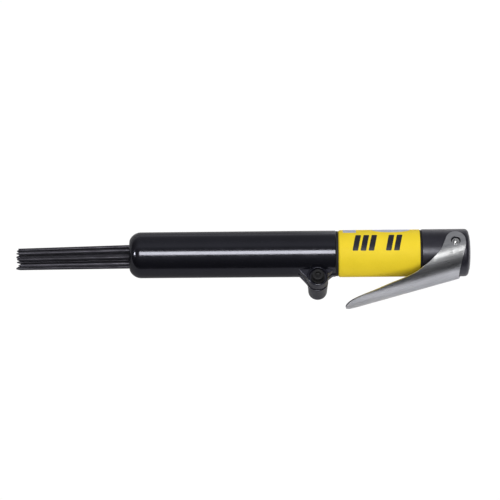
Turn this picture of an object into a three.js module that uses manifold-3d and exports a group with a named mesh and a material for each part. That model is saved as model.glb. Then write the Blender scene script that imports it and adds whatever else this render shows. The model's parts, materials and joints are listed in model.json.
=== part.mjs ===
// Inline pneumatic needle scaler: a straight, hand-held air tool whose piston drives a pack of
// twelve loose steel needles through a long nose tube. A sheet-steel lever under the rear cap
// opens the throttle valve.
//
// Tool frame, in millimetres: X runs along the barrel, 0 at the front of the nose tube and
// positive towards the air inlet. Z is up when the tool is held with its lever underneath.
// The exported group lays the tool on a table on its side, with the lever towards -Y: it rests
// on the flat of the lever's lower ear and on the nose tube, so its rear end is a little higher.
import * as THREE from "three";
import { mergeVertices } from "three/addons/utils/BufferGeometryUtils.js";
import Module from "manifold-3d";

// ---------------------------------------------------------------- driving dimensions
const ROLL_DEG = -90.3; // turn about X from the tool frame to the table
const PITCH_DEG = 0.5715; // rise of the rear end, from the nose tube to the lever's ear
const ORIGIN_X = 95.911; // middle of the overall box, from the nose face
const ORIGIN_Y = 15.740; // from the middle of the overall box to the barrel's axis
const AXIS_HEIGHT = 19.3943; // of the barrel's axis over the table, at the nose face

const TUBE_R_FRONT = 19.5, TUBE_R_REAR = 19.68, TUBE_BORE_R = 17.75;
const TUBE_END_X = 176.1, NOSE_R = 10.6, NOSE_HOLE_R = 12.9;
const BOSS_X = 159.6, BOSS_Z = -26.1, BOSS_R = 8.8, BOSS_Y0 = -10.5, BOSS_Y1 = 20.7, BOSS_END_R = 7.9;
const SLOT_Y0 = -1.1, SLOT_Y1 = 1.1, SLOT_START_X = 143;
const SCREW_R = 3.0, SCREW_HEAD_R = 4.9;

const NEEDLE_R = 1.5, NEEDLE_LENGTH = 180, // when new
   NEEDLE_HEAD_R = 2.5, NEEDLE_HEAD_L = 3.5;
const HOLDER_X0 = 64, HOLDER_X1 = 79, HOLDER_R = 17.4, HOLDER_HOLE_R = 2.1;
const NEEDLE_SEAT_X = 82.9; // rear face of a seated needle head
const PITCH_X = 71.5; // middle of the holder, about which the loose needles tip
const OUTER_HOLDER_R = 9.35, OUTER_TIP_R = 7.8, INNER_HOLDER_R = 3.15, INNER_TIP_R = 2.75;
const TIP_X = -97.2, SAG_AT_NOSE = 2.35;

const CYL_X0 = 106, CYL_X1 = 236, CYL_R = 17.5, PISTON_BORE_R = 9.8, PISTON_R = 9.5;
const PISTON_X0 = 123, PISTON_L = 50;
const CHEST_X = 198, CHEST_R = 13.7;

const SLEEVE_X0 = 177.1, SLEEVE_X1 = 246.2, SLEEVE_R = 20.0, SLEEVE_BORE_R = 17.85;
const CAP_X0 = 247.8, CAP_X1 = 288.7, CAP_R = 20.15, CAP_EDGE_R = 3.5, CAP_CROWN = 1.05;
const INLET_R = 5.7, INLET_DEPTH = 12;
const VALVE_X = 262, PIVOT_X = 275.9;

const LEVER_R = 22.4, LEVER_T = 1.3, LEVER_OPEN_DEG = 16.86, LEVER_LENGTH = 104.1;
const EAR_Y0 = 20.75, EAR_Y1 = 22.05, EAR_R = 8.5;

// ---------------------------------------------------------------- solids
const wasm = await Module();
wasm.setup();

function solidOf(geometry) {
  const bare = geometry.index ? geometry.toNonIndexed() : geometry.clone();
  for (const name of Object.keys(bare.attributes))
    if (name !== "position") bare.deleteAttribute(name);
  const merged = mergeVertices(bare, 1e-4);
  const index = merged.index.array;
  const kept = [];
  for (let i = 0; i < index.length; i += 3) {
    const [a, b, c] = [index[i], index[i + 1], index[i + 2]];
    if (a !== b && b !== c && c !== a) kept.push(a, b, c);
  }
  const make = (triangles) =>
    new wasm.Manifold(
      new wasm.Mesh({
        numProp: 3,
        vertProperties: merged.attributes.position.array,
        triVerts: new Uint32Array(triangles),
      }),
    );
  const made = make(kept);
  if (made.volume() > 0) return made;
  for (let i = 0; i < kept.length; i += 3) [kept[i], kept[i + 1]] = [kept[i + 1], kept[i]];
  return make(kept);
}

function geometryOf(solid) {
  const mesh = solid.getMesh();
  const positions = new Float32Array(mesh.numVert * 3);
  for (let i = 0; i < mesh.numVert; i++)
    positions.set(mesh.vertProperties.subarray(i * mesh.numProp, i * mesh.numProp + 3), i * 3);
  const geometry = new THREE.BufferGeometry();
  geometry.setAttribute("position", new THREE.BufferAttribute(positions, 3));
  geometry.setIndex(new THREE.BufferAttribute(new Uint32Array(mesh.triVerts), 1));
  geometry.computeVertexNormals();
  return geometry;
}

// A solid of revolution about X from [x, r] points. It closes on itself or ends on the axis.
function turned(points, segments = 40) {
  const loop = points.map(([x, r]) => new THREE.Vector2(Math.max(r, 0), x));
  if (points[0][1] > 1e-6 || points.at(-1)[1] > 1e-6) loop.push(loop[0].clone());
  return solidOf(new THREE.LatheGeometry(loop, segments).rotateZ(-Math.PI / 2));
}
const ring = (x0, x1, r0, r1, segments = 40) =>
  turned([[x0, r0], [x1, r0], [x1, r1], [x0, r1]], segments);
const rod = (x0, x1, r, segments = 40) => turned([[x0, 0], [x1, 0], [x1, r], [x0, r], [x0, 0]].slice(0, 5), segments);

const moved = (solid, x, y, z) => solid.translate([x, y, z]);
// A solid of revolution about Z or Y, from [height, r] points.
const upright = (points, segments = 32) => turned(points, segments).rotate([0, -90, 0]);
const sideways = (points, segments = 32) => turned(points, segments).rotate([0, 0, 90]);
const box = (x0, x1, y0, y1, z0, z1) =>
  solidOf(
    new THREE.BoxGeometry(x1 - x0, y1 - y0, z1 - z0).translate((x0 + x1) / 2, (y0 + y1) / 2, (z0 + z1) / 2),
  );
function extrudedShape(points, depth) {
  const shape = new THREE.Shape(points.map(([a, b]) => new THREE.Vector2(a, b)));
  return new THREE.ExtrudeGeometry(shape, { depth, bevelEnabled: false });
}
// An outline in X and Z, running from y0 to y1.
const sideProfile = (points, y0, y1) =>
  solidOf(extrudedShape(points, y1 - y0).rotateX(Math.PI / 2).translate(0, y1, 0));
// An outline in X and Y, running from z0 to z1.
const planProfile = (points, z0, z1) => solidOf(extrudedShape(points, z1 - z0).translate(0, 0, z0));
const arc = (cx, cr, radius, from, to, n) =>
  Array.from({ length: n + 1 }, (_, i) => {
    const a = THREE.MathUtils.degToRad(from + ((to - from) * i) / n);
    return [cx + radius * Math.cos(a), cr + radius * Math.sin(a)];
  });

class Helix extends THREE.Curve {
  constructor(radius, x0, x1, turns) {
    super();
    Object.assign(this, { radius, x0, x1, turns });
  }
  getPoint(t, target = new THREE.Vector3()) {
    const a = 2 * Math.PI * this.turns * t;
    return target.set(this.x0 + (this.x1 - this.x0) * t, this.radius * Math.cos(a), this.radius * Math.sin(a));
  }
}
function coilSpring(radius, wire, x0, x1, turns, stepsPerTurn) {
  const section = new THREE.Shape(
    Array.from({ length: 6 }, (_, i) => new THREE.Vector2(wire * Math.cos((i * Math.PI) / 3), wire * Math.sin((i * Math.PI) / 3))),
  );
  return solidOf(
    new THREE.ExtrudeGeometry(section, {
      steps: Math.round(turns * stepsPerTurn),
      bevelEnabled: false,
      extrudePath: new Helix(radius, x0 + wire, x1 - wire, turns),
    }),
  );
}

const steel = { color: 0x8c8f96, roughness: 0.35, metalness: 0.9 };
const darkSteel = { color: 0x2b2c31, roughness: 0.45, metalness: 0.7 };
const stainless = { color: 0xb4b6ba, roughness: 0.3, metalness: 0.95 };
const blackPaint = { color: 0x16161b, roughness: 0.12, metalness: 0.0 };
const blackSatin = { color: 0x2c2c33, roughness: 0.42, metalness: 0.1 };
const yellow = { color: 0xe8d232, roughness: 0.45, metalness: 0.0 };
const brass = { color: 0xb89a4e, roughness: 0.35, metalness: 0.9 };
const rubber = { color: 0x111113, roughness: 0.8, metalness: 0.0 };
function node(parent, name, solid, finish) {
  const mesh = new THREE.Mesh(geometryOf(solid), new THREE.MeshStandardMaterial(finish));
  mesh.name = name;
  parent.add(mesh);
  return mesh;
}

const scaler = new THREE.Group();
const tool = new THREE.Group();
tool.rotation.x = THREE.MathUtils.degToRad(ROLL_DEG);
const lying = new THREE.Group();
lying.rotation.y = THREE.MathUtils.degToRad(-PITCH_DEG);
lying.position.set(-ORIGIN_X, ORIGIN_Y, AXIS_HEIGHT);
lying.add(tool);
scaler.add(lying);

// ---------------------------------------------------------------- nose tube and its clamp
const lipAngle = THREE.MathUtils.radToDeg(Math.asin((NOSE_HOLE_R - (TUBE_R_FRONT - NOSE_R)) / NOSE_R));
const noseRound = arc(NOSE_R, TUBE_R_FRONT - NOSE_R, NOSE_R, 90, 180 - lipAngle, 7);
const innerLip = THREE.MathUtils.radToDeg(Math.asin((NOSE_HOLE_R - (TUBE_BORE_R - 8.85)) / 8.85));
const innerRound = arc(NOSE_R, TUBE_BORE_R - 8.85, 8.85, 180 - innerLip, 90, 4);
let tube = turned(
  [
    [TUBE_END_X, TUBE_BORE_R],
    [TUBE_END_X, TUBE_R_REAR - 0.7],
    [TUBE_END_X - 0.7, TUBE_R_REAR],
    ...noseRound,
    ...innerRound,
  ],
  40,
);
const boss = moved(
  sideways([[BOSS_Y0, 0], [BOSS_Y1, 0], [BOSS_Y1, BOSS_END_R - 1.1], [BOSS_Y1 - 1.1, BOSS_END_R], [2, BOSS_R], [BOSS_Y0 + 0.6, BOSS_R], [BOSS_Y0, BOSS_R - 0.5], [BOSS_Y0, 0]], 28),
  BOSS_X, 0, BOSS_Z,
);
const web = sideProfile(
  [[143.0, -14], [143.6, -18.2], [150.2, -26.2], [151.6, -28.4], [159.6, -30], [167.6, -25.2], [168.6, -22.3], [173.2, -18.9], [174.8, -14]],
  -6.9, 6.9,
);
tube = tube.add(boss).add(web);
tube = tube.subtract(rod(100, 180, TUBE_BORE_R, 40));
tube = tube.subtract(box(SLOT_START_X, 180, SLOT_Y0, SLOT_Y1, -40, -12));
tube = tube.subtract(moved(sideways([[-20, 0], [0.5, 0], [0.5, SCREW_R + 0.3], [-20, SCREW_R + 0.3], [-20, 0]], 16), BOSS_X, 0, BOSS_Z));
tube = tube.subtract(moved(sideways([[-0.5, 0], [13.8, 0], [13.8, SCREW_R + 0.25], [-0.5, SCREW_R + 0.25], [-0.5, 0]], 16), BOSS_X, 0, BOSS_Z));
tube = tube.subtract(moved(sideways([[-20, 0], [-6.3, 0], [-6.3, 7.6], [-20, 7.6], [-20, 0]], 24), BOSS_X, 0, BOSS_Z));
node(tool, "nose_tube", tube, blackPaint);
node(tool, "spring_seat_ring", ring(12.6, 17, 13.3, 17.4, 28), steel);
node(
  tool, "clamp_washer",
  moved(sideways([[-7.7, 3.5], [-6.6, 3.5], [-6.6, 6.0], [-7.7, 6.0]], 20), BOSS_X, 0, BOSS_Z),
  darkSteel,
);
const hexagon = (radius) =>
  Array.from({ length: 6 }, (_, i) => [radius * Math.cos((i * Math.PI) / 3), radius * Math.sin((i * Math.PI) / 3)]);
let clampScrew = sideways(
  [[-12.6, 0], [13.2, 0], [13.2, SCREW_R - 0.6], [12.6, SCREW_R], [-8, SCREW_R], [-8, SCREW_HEAD_R], [-12.2, SCREW_HEAD_R], [-12.6, SCREW_HEAD_R - 0.4], [-12.6, 0]],
  16,
);
clampScrew = clampScrew.subtract(sideProfile(hexagon(2.9), -17, -9.8));
node(tool, "clamp_screw", moved(clampScrew, BOSS_X, 0, BOSS_Z), darkSteel);

// ---------------------------------------------------------------- needles, holder, spring
const sag = new THREE.Vector3(0, 0, -1).applyAxisAngle(new THREE.Vector3(1, 0, 0), -tool.rotation.x);
const needles = [];
const addNeedle = (holderR, tipR, degrees, worn, turn) => {
  const a = THREE.MathUtils.degToRad(degrees);
  const base = new THREE.Vector3(PITCH_X, holderR * Math.cos(a), holderR * Math.sin(a));
  const tip = new THREE.Vector3(TIP_X, tipR * Math.cos(a), tipR * Math.sin(a))
    .addScaledVector(sag, (SAG_AT_NOSE * (PITCH_X - TIP_X)) / PITCH_X);
  needles.push({ base, worn, turn, rearward: base.clone().sub(tip).normalize() });
};
// [turn round the ring, length worn away, turn of the chisel edge]
const outer = [[10, 0.9, 20], [50, 1.6, 75], [90, 0.4, 140], [130, 2.0, 95], [170, 0.8, 5], [210, 1.5, 60], [250, 2.5, 30], [290, 0.2, 110], [330, 1.2, 160]];
const inner = [[70, 0.0, 45], [190, 1.1, 120], [310, 0.6, 80]];
for (const [d, b, t] of outer) addNeedle(OUTER_HOLDER_R, OUTER_TIP_R, d, b, t);
for (const [d, b, t] of inner) addNeedle(INNER_HOLDER_R, INNER_TIP_R, d, b, t);

let holder = turned(
  [[HOLDER_X0, 0], [HOLDER_X1, 0], [HOLDER_X1, HOLDER_R - 1], [HOLDER_X1 - 1, HOLDER_R], [HOLDER_X0 + 4, HOLDER_R], [HOLDER_X0 + 4, 13.1], [HOLDER_X0, 13.1], [HOLDER_X0, 0]],
  32,
);
const placed = (geometry, n, along) => {
  const q = new THREE.Quaternion().setFromUnitVectors(new THREE.Vector3(1, 0, 0), n.rearward);
  const at = n.base.clone().addScaledVector(n.rearward, along);
  return geometry.applyMatrix4(new THREE.Matrix4().compose(at, q, new THREE.Vector3(1, 1, 1)));
};
for (const n of needles) {
  const hole = new THREE.CylinderGeometry(HOLDER_HOLE_R, HOLDER_HOLE_R, 30, 9).rotateZ(Math.PI / 2);
  holder = holder.subtract(solidOf(placed(hole, n, 0)));
}
node(tool, "needle_holder", holder, steel);
needles.forEach((n, i) => {
  const rear = NEEDLE_LENGTH - n.worn, neck = rear - NEEDLE_HEAD_L;
  const blank = turned(
    [[0, 0], [rear, 0], [rear, NEEDLE_HEAD_R - 0.4], [rear - 0.4, NEEDLE_HEAD_R], [neck, NEEDLE_HEAD_R], [neck, NEEDLE_R], [0, NEEDLE_R], [0, 0]],
    10,
  );
  const wedge = sideProfile([[0, -0.22], [rear + 1, -0.22], [rear + 1, 0.22], [0, 0.22]], -3, 3)
    .add(sideProfile([[0, -0.22], [3.0, -1.62], [3.0, -3], [rear + 1, -3], [rear + 1, 3], [3.0, 3], [3.0, 1.62], [0, 0.22]], -3, 3));
  const cut = blank.intersect(wedge).rotate([n.turn, 0, 0]);
  const seat = (NEEDLE_SEAT_X - PITCH_X) / n.rearward.x;
  node(tool, `needle_${String(i + 1).padStart(2, "0")}`, solidOf(placed(geometryOf(cut), n, seat - rear)), darkSteel);
});
node(tool, "return_spring", coilSpring(15.1, 1.25, 17.3, 67.6, 6, 14), steel);

// ---------------------------------------------------------------- anvil, cylinder, piston
node(
  tool, "anvil",
  turned([[93.4, 0], [122.4, 0], [122.4, 5.9], [121.4, 6.9], [101.4, 6.9], [101.4, 15.2], [94.2, 15.2], [93.4, 14.4], [93.4, 0]], 28),
  steel,
);
node(tool, "spacer_tube", ring(79.4, 105.6, 15.75, 17.35, 28), steel);
node(tool, "anvil_buffer_ring", ring(101.8, 105.6, 8.2, 15.3, 24), rubber);
node(tool, "anvil_bush", ring(106.2, 118, 7.2, 10.1, 24), brass);
let cylinder = turned(
  [
    [CYL_X0, 10.4], [118.4, 10.4], [118.4, PISTON_BORE_R], [CHEST_X, PISTON_BORE_R], [CHEST_X, CHEST_R],
    [CYL_X1, CHEST_R], [CYL_X1, CYL_R], [CYL_X0 + 1, CYL_R], [CYL_X0, CYL_R - 1],
  ],
  36,
);
for (const a of [0, 90, 180, 270]) {
  const channel = box(148, SLEEVE_X0 + 0.2, -2.5, 2.5, 16.2, 19).rotate([a + 45, 0, 0]);
  const port = moved(upright([[0, 0], [20, 0], [20, 2], [0, 2], [0, 0]], 10), 152, 0, 0).rotate([a + 45, 0, 0]);
  cylinder = cylinder.subtract(channel).subtract(port);
}
const dowelHole = moved(rod(192, 200, 1.3, 10), 0, 0, 11.75);
cylinder = cylinder.subtract(dowelHole);
node(tool, "cylinder", cylinder, steel);
node(
  tool, "piston",
  turned([
    [PISTON_X0, 0], [PISTON_X0 + PISTON_L, 0], [PISTON_X0 + PISTON_L, 8.5], [PISTON_X0 + PISTON_L - 1, PISTON_R],
    [PISTON_X0 + 31, PISTON_R], [PISTON_X0 + 30, 8.7], [PISTON_X0 + 26, 8.7], [PISTON_X0 + 25, PISTON_R],
    [PISTON_X0 + 12, PISTON_R], [PISTON_X0 + 11, 7.2], [PISTON_X0 + 1, 7.2], [PISTON_X0, 6.2], [PISTON_X0, 0],
  ], 24),
  steel,
);

// ---------------------------------------------------------------- distributor behind the cylinder
const portHoles = (solid, x0, x1, radius, count, pitch, start = 0) => {
  for (let i = 0; i < count; i++)
    solid = solid.subtract(moved(rod(x0, x1, radius, 8), 0, 0, pitch).rotate([start + (360 * i) / count, 0, 0]));
  return solid;
};
let plate = turned([[198.3, 0], [203.4, 0], [203.4, 13.4], [198.3, 13.4], [198.3, 0]], 28);
plate = portHoles(plate, 196, 206, 1.4, 4, 5.2, 45);
plate = plate.subtract(moved(rod(196, 206, 1.3, 10), 0, 0, 11.75));
node(tool, "distributor_plate", plate, steel);
let chest = turned([[203.7, 9], [207.2, 9], [207.2, 3.2], [213.8, 3.2], [213.8, 13.4], [203.7, 13.4]], 28);
chest = chest.subtract(moved(rod(202, 212, 1.3, 10), 0, 0, 11.75));
node(tool, "distributor_chest", chest, steel);
node(tool, "flapper_disc", turned([[203.75, 0], [204.85, 0], [204.85, 8.6], [203.75, 8.6], [203.75, 0]], 24), steel);
node(tool, "distributor_dowel", moved(rod(193, 211, 1.0, 10), 0, 0, 11.75), steel);

// ---------------------------------------------------------------- grip sleeve, rings
node(tool, "exhaust_ring", ring(176.4, 176.8, 17.85, 18.8, 36), rubber);
node(
  tool, "grip_sleeve",
  turned([
    [SLEEVE_X0, SLEEVE_BORE_R], [SLEEVE_X1, SLEEVE_BORE_R], [SLEEVE_X1, SLEEVE_R - 0.4], [SLEEVE_X1 - 0.4, SLEEVE_R],
    ...arc(SLEEVE_X0 + 2.1, SLEEVE_R - 2.1, 2.1, 90, 170, 4),
  ], 40),
  yellow,
);
node(tool, "cap_gasket", ring(246.5, 247.5, 17.75, 19.5, 36), rubber);

// ---------------------------------------------------------------- rear cap with throttle valve and inlet
let cap = turned([
  [214.2, 0], [CAP_X1, 0], [CAP_X1, 12.2], [CAP_X1 - 0.35, 14.6], ...arc(CAP_X1 - CAP_CROWN - CAP_EDGE_R, CAP_R - CAP_EDGE_R, CAP_EDGE_R, 0, 90, 4),
  [CAP_X0 + 0.4, CAP_R], [CAP_X0, CAP_R - 0.4], [CAP_X0, 17.4], [236.4, 17.4], [236.4, 13.4],
  [231.4, 13.4], [231.4, 11.5], [228.4, 11.5], [228.4, 13.4], [214.2, 13.4], [214.2, 0],
], 40);
cap = cap.subtract(rod(213, 252, 3.2, 14)); // air way to the distributor
cap = cap.subtract(rod(271.6, 290, 8.8, 24)); // seat of the inlet bush
cap = cap.subtract(rod(260, 272, 3.6, 14)); // from the inlet to the spring chamber
const well = (z0, z1, r, n = 18) => moved(upright([[z0, 0], [z1, 0], [z1, r], [z0, r], [z0, 0]], n), VALVE_X, 0, 0);
cap = cap.subtract(well(-8.4, 15, 6.3)).subtract(well(14.9, 22, 8.3, 24)); // seat and spring chamber, plug
cap = cap.subtract(well(-14.2, -8.3, 4.6)).subtract(well(-22, -14.1, 4.3)); // outlet chamber, plunger bush
const rise = new THREE.CylinderGeometry(2.0, 2.0, 16, 10)
  .rotateZ(Math.PI / 2).rotateY(THREE.MathUtils.degToRad(40)).translate(254.4, 0, -5.3);
cap = cap.subtract(solidOf(rise)); // up from the outlet chamber to the air way
for (const s of [-1, 1]) {
  cap = cap.subtract(moved(sideways([[s * 12.2, 0], [s * 22, 0], [s * 22, 2.3], [s * 12.2, 2.3], [s * 12.2, 0]], 14), PIVOT_X, 0, 0));
  cap = cap.subtract(moved(sideways([[s * 18.0, 0], [s * 22, 0], [s * 22, 3.8], [s * 18.0, 3.8], [s * 18.0, 0]], 16), PIVOT_X, 0, 0));
}
node(tool, "rear_cap", cap, blackSatin);
node(tool, "cap_o_ring", ring(228.8, 231.0, 11.75, 13.25, 28), rubber);
node(
  tool, "inlet_bush",
  turned([[272, 4.2], [CAP_X1 - INLET_DEPTH, 4.2], [CAP_X1 - INLET_DEPTH, INLET_R], [CAP_X1 - 1.1, INLET_R], [CAP_X1 - 0.3, INLET_R + 0.8], [CAP_X1 - 0.3, 8.4], [272, 8.4]], 24),
  steel,
);
let strainer = turned([[274.2, 0], [276.2, 0], [276.2, 3.9], [274.2, 3.9], [274.2, 0]], 16);
strainer = portHoles(strainer, 273, 277, 0.6, 5, 2.3);
node(tool, "inlet_strainer", strainer, brass);
node(tool, "plunger_bush", moved(upright([[-19.4, 2.75], [-16.4, 2.75], [-16.4, 3.35], [-14.5, 3.35], [-14.5, 4.0], [-19.4, 4.0]], 18), VALVE_X, 0, 0), brass);
node(tool, "plunger_seal", moved(upright([[-16.1, 2.72], [-14.8, 2.72], [-14.8, 3.2], [-16.1, 3.2]], 16), VALVE_X, 0, 0), rubber);
node(tool, "throttle_seat", moved(upright([[-8.1, 2.7], [-5.6, 2.7], [-5.6, 6.0], [-8.1, 6.0]], 20), VALVE_X, 0, 0), brass);
node(
  tool, "throttle_plunger",
  moved(upright([[-25.6, 0], [-25.6, 1.7], [-24.8, 2.45], [-14.2, 2.45], [-13.2, 1.5], [-5.3, 1.5], [-5.3, 4.4], [-2.6, 4.4], [-1.6, 2.3], [0.6, 2.3], [0.6, 0]], 18), VALVE_X, 0, 0),
  stainless,
);
node(
  tool, "throttle_spring",
  coilSpring(3.9, 0.5, 0, 16.4, 4.5, 10).rotate([0, -90, 0]).translate([VALVE_X, 0, -2.2]),
  steel,
);
let plug = upright([[14.5, 0], [18.2, 0], [18.2, 7.4], [17.7, 7.9], [15.3, 7.9], [15.3, 5.9], [14.5, 5.9], [14.5, 0]], 24);
plug = plug.subtract(planProfile(hexagon(3.4), 16.2, 21));
node(tool, "throttle_plug", moved(plug, VALVE_X, 0, 0), darkSteel);

// ---------------------------------------------------------------- lever and its pivot screws
const lever = new THREE.Group();
lever.position.set(PIVOT_X, 0, 0);
lever.rotation.y = THREE.MathUtils.degToRad(-LEVER_OPEN_DEG);
tool.add(lever);
// Half-width of the channel against the distance in front of the pivot: it hugs the grip when squeezed.
const halfWidths = [[11.8, 22.0], [15.2, 21.85], [17.9, 21.45], [20.2, 20.95], [24.6, 20.0], [28.7, 18.92], [32.7, 17.95], [39.6, 16.0], [43.8, 15.1], [50, 14.25], [65, 12.75], [76, 11.1], [87, 9.7], [93.5, 8.6], [97.6, 7.4], [100.6, 5.9], [102.7, 3.9], [103.8, 1.9], [LEVER_LENGTH, 0]];
const half = halfWidths.map(([t, w]) => [-t, -w]);
const plan = [[10, -25], [-9.5, -25], ...half, ...half.slice(0, -1).reverse().map(([x, y]) => [x, -y]), [-9.5, 25], [10, 25]];
const shell = ring(-LEVER_LENGTH - 1, 12, LEVER_R - LEVER_T, LEVER_R, 60);
const under = sideProfile([[-LEVER_LENGTH - 2, -30], [-8.9, -30], [5.6, -8.4], [7.45, -5.1], [8.1, -2.6], [-LEVER_LENGTH - 2, -2.6]], -30, 30);
let blade = shell.intersect(under).intersect(planProfile(plan, -40, 40));
// The ears stand flat beside the pivot, with a round top and a straight front edge.
const earOutline = [
  [7.45, -5.1],
  ...Array.from({ length: 13 }, (_, i) => {
    const a = THREE.MathUtils.degToRad(-17 + (169 * i) / 12);
    return [-0.1 + EAR_R * Math.cos(a), 0.15 + EAR_R * Math.sin(a)];
  }),
  [-13.2, -2.85], [-15.5, -5.2], [-17.8, -7.2], [6.2, -7.2],
];
blade = blade.intersect(box(-200, 60, -EAR_Y1, EAR_Y1, -60, 60));
for (const [y0, y1] of [[EAR_Y0, EAR_Y1], [-EAR_Y1, -EAR_Y0]])
  blade = blade.add(sideProfile(earOutline, y0, y1));
blade = blade.subtract(rod(-LEVER_LENGTH - 1, 20, LEVER_R - LEVER_T, 60));
blade = blade.subtract(sideways([[-30, 0], [30, 0], [30, 4.1], [-30, 4.1], [-30, 0]], 20));
node(lever, "lever", blade, stainless);
for (const [name, s] of [["lever_pivot_screw_up", -1], ["lever_pivot_screw_down", 1]]) {
  let screw = sideways(
    [[13, 0], [21.4, 0], [21.4, 1.9], [20.9, 3.0], [20.3, 3.35], [18.4, 3.35], [18.4, 2.0], [13.4, 2.0], [13, 1.6], [13, 0]].map(([a, r]) => [s * a, r]), 16,
  );
  node(tool, name, moved(screw, PIVOT_X, 0, 0), steel);
}

export default scaler;
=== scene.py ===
import json
import math

import bmesh
import bpy
import numpy as np
from mathutils import Matrix, Vector


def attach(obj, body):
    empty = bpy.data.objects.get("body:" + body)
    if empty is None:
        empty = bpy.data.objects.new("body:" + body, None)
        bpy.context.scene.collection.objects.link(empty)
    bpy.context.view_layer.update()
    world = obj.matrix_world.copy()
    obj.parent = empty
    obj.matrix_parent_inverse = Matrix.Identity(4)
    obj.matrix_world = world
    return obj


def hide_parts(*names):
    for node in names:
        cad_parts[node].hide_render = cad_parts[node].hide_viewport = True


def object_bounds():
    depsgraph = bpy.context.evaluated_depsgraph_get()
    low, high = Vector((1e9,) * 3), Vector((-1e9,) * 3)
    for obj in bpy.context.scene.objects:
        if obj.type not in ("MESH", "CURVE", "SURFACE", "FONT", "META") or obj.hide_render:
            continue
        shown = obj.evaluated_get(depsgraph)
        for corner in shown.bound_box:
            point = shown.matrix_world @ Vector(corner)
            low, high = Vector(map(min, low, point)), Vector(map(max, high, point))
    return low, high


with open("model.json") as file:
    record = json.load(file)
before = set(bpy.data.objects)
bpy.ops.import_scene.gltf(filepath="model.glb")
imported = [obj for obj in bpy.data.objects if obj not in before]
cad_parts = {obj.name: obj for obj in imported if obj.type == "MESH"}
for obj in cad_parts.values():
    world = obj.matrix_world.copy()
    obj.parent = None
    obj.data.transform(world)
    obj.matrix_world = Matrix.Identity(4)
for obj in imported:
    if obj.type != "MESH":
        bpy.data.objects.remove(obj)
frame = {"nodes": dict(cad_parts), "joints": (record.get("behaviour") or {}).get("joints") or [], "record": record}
cad_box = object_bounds()
scene = bpy.context.scene
MM = 0.001

# ------------------------------------------------------------------ the tool's own frame
# X along the barrel to the inlet (0 at the nose face), Y to the side that lies on the table,
# Z away from the lever. It is taken from the joints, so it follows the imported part.
joints = {j["name"]: j for j in frame["joints"]}
ax_x = -Vector(joints["needle_holder_slide"]["axis"]).normalized()
ax_z = Vector(joints["plunger_slide"]["axis"])
ax_z = (ax_z - ax_x * ax_z.dot(ax_x)).normalized()
ax_y = ax_z.cross(ax_x)
PIVOT_X, VALVE_X = 275.9, 262.0
pivot = Vector(joints["lever_hinge"]["pos_m"])
TOOL = Matrix.Translation(pivot - ax_x * PIVOT_X * MM) @ Matrix((ax_x, ax_y, ax_z)).transposed().to_4x4()
OPEN = math.radians(16.86)
LEVER = TOOL @ Matrix.Translation((PIVOT_X * MM, 0, 0)) @ Matrix.Rotation(-OPEN, 4, "Y")

# ------------------------------------------------------------------ mesh helpers, all in tool millimetres
def finish_mesh(name, mesh, place, angle=32):
    mesh.transform(Matrix.Scale(MM, 4))
    mesh.polygons.foreach_set("use_smooth", [True] * len(mesh.polygons))
    mesh.set_sharp_from_angle(angle=math.radians(angle))
    mesh.update()
    obj = bpy.data.objects.new(name, mesh)
    scene.collection.objects.link(obj)
    obj.matrix_world = place
    return obj


def raw(name, verts, faces):
    mesh = bpy.data.meshes.new(name)
    mesh.from_pydata([tuple(v) for v in verts], [], [tuple(f) for f in faces])
    mesh.update()
    bm = bmesh.new()
    bm.from_mesh(mesh)
    bmesh.ops.remove_doubles(bm, verts=bm.verts, dist=1e-4)
    bmesh.ops.recalc_face_normals(bm, faces=bm.faces)
    bm.to_mesh(mesh)
    bm.free()
    return mesh


def rounded(points, closed=True):
    """Rounds the corners of an [x, r, radius] outline."""
    out, n = [], len(points)
    for i, p in enumerate(points):
        rad = p[2] if len(p) > 2 else 0
        here = Vector(p[:2])
        if rad <= 0 or (not closed and i in (0, n - 1)):
            out.append(here)
            continue
        a, b = Vector(points[i - 1][:2]), Vector(points[(i + 1) % n][:2])
        u, v = (a - here), (b - here)
        lu, lv = u.length, v.length
        u.normalize(), v.normalize()
        half = u.angle(v) / 2
        back = min(rad / math.tan(half), lu * 0.49, lv * 0.49)
        r = back * math.tan(half)
        centre = here + (u + v).normalized() * (r / math.sin(half))
        s, e = here + u * back - centre, here + v * back - centre
        turn = s.angle(e)
        steps = max(2, int(math.degrees(turn) / 15))
        sign = 1 if s.cross(e) > 0 else -1
        for k in range(steps + 1):
            c, q = math.cos(sign * turn * k / steps), math.sin(sign * turn * k / steps)
            out.append(centre + Vector((s.x * c - s.y * q, s.x * q + s.y * c)))
    return [(p.x, p.y) for p in out]


def lathe(name, outline, seg=128, axis="X"):
    """A closed outline of (x, r) turned about X, or about Y or Z with x as the height."""
    verts, rings = [], []
    for x, r in outline:
        if r < 1e-6:
            rings.append([len(verts)])
            verts.append((x, 0, 0))
        else:
            rings.append(list(range(len(verts), len(verts) + seg)))
            for k in range(seg):
                a = 2 * math.pi * k / seg
                verts.append((x, r * math.cos(a), r * math.sin(a)))
    faces, n = [], len(outline)
    for i in range(n):
        a, b = rings[i], rings[(i + 1) % n]
        if len(a) == 1 and len(b) == 1:
            continue
        for k in range(seg):
            m = (k + 1) % seg
            if len(a) == 1:
                faces.append((a[0], b[m], b[k]))
            elif len(b) == 1:
                faces.append((a[k], a[m], b[0]))
            else:
                faces.append((a[k], a[m], b[m], b[k]))
    if axis == "Z":
        verts = [(-z, y, x) for x, y, z in verts]
    elif axis == "Y":
        verts = [(-y, x, z) for x, y, z in verts]
    return raw(name, verts, faces)


def shifted(mesh, x=0, y=0, z=0):
    mesh.transform(Matrix.Translation((x, y, z)))
    return mesh


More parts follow.
